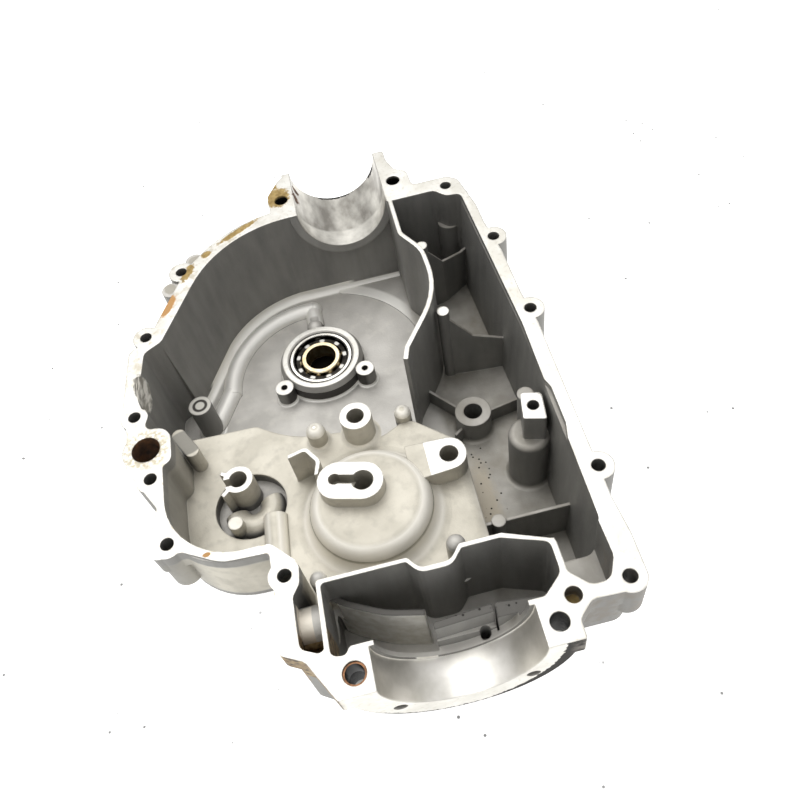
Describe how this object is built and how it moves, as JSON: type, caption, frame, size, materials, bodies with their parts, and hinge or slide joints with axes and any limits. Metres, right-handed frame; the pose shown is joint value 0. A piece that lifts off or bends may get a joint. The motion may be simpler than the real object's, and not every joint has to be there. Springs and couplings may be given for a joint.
{
  "type": "crankcase side cover",
  "caption": "Cast aluminium crankcase half with deep open chambers, a half-round cylinder mouth and neck, bosses, a curved baffle and a ball bearing in its floor.",
  "frame": {"origin": "centre of the ball bearing's bore, on the bearing's inner face", "axes": "+Z along the crankshaft, out of the open side; +Y towards the half-round neck; -Y towards the cylinder mouth"},
  "size_m": [0.244, 0.352, 0.076],
  "materials": {
    "cast_alloy": "as cast, machined on the joint face and bores",
    "bearing_steel": "ground",
    "cage_steel": "oiled pressed steel",
    "dowel_steel": "oiled, brown tinted"
  },
  "bodies": {
    "case": {"crankcase": "cast_alloy", "bearing_outer_ring": "bearing_steel", "hollow_dowel": "dowel_steel"},
    "inner_ring": {"bearing_inner_ring": "bearing_steel"},
    "ball_train": {"bearing_cage": "cage_steel", "bearing_balls": "bearing_steel"}
  },
  "joints": [
    {"name": "inner_ring_spin", "type": "hinge", "parent": "case", "child": "inner_ring", "pos_m": [0, 0, -0.006], "axis": [0, 0, 1], "continuous": true},
    {"name": "ball_train_spin", "type": "hinge", "parent": "case", "child": "ball_train", "pos_m": [0, 0, -0.006], "axis": [0, 0, 1], "continuous": true}
  ],
  "couplings": [
    {"joint": "inner_ring_spin", "follows": "ball_train_spin", "ratio": 2.5}
  ]
}
